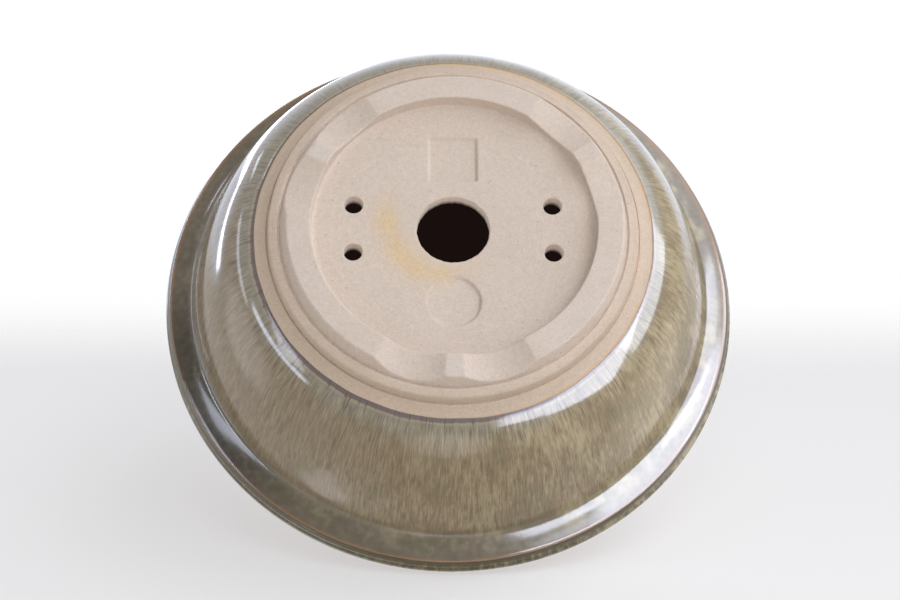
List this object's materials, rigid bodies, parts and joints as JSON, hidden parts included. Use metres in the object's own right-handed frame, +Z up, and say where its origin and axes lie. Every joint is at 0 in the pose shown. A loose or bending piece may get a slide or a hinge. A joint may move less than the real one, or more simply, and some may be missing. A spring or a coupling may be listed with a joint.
{
  "type": "round bonsai pot",
  "caption": "Shallow round bonsai pot of stoneware with a flanged glazed rim, a bare scooped foot ring, a drain hole and wire holes through the floor.",
  "frame": {"origin": "middle of the resting plane of the feet", "axes": "+Z up along the pot's axis; the pairs of wire holes stand apart along X, and the holes of a pair along Y"},
  "size_m": [0.212, 0.212, 0.068],
  "materials": {
    "bare_clay": "matt bare stoneware",
    "foot_clay": "matt bare stoneware, worn smooth on the feet",
    "outer_glaze": "glossy streaked olive glaze",
    "rim_glaze": "glossy olive-brown glaze"
  },
  "bodies": {
    "root": {"clay_bowl": "bare_clay", "foot_ring": "foot_clay", "outer_glaze": "outer_glaze", "rim_glaze": "rim_glaze"}
  },
  "joints": []
}
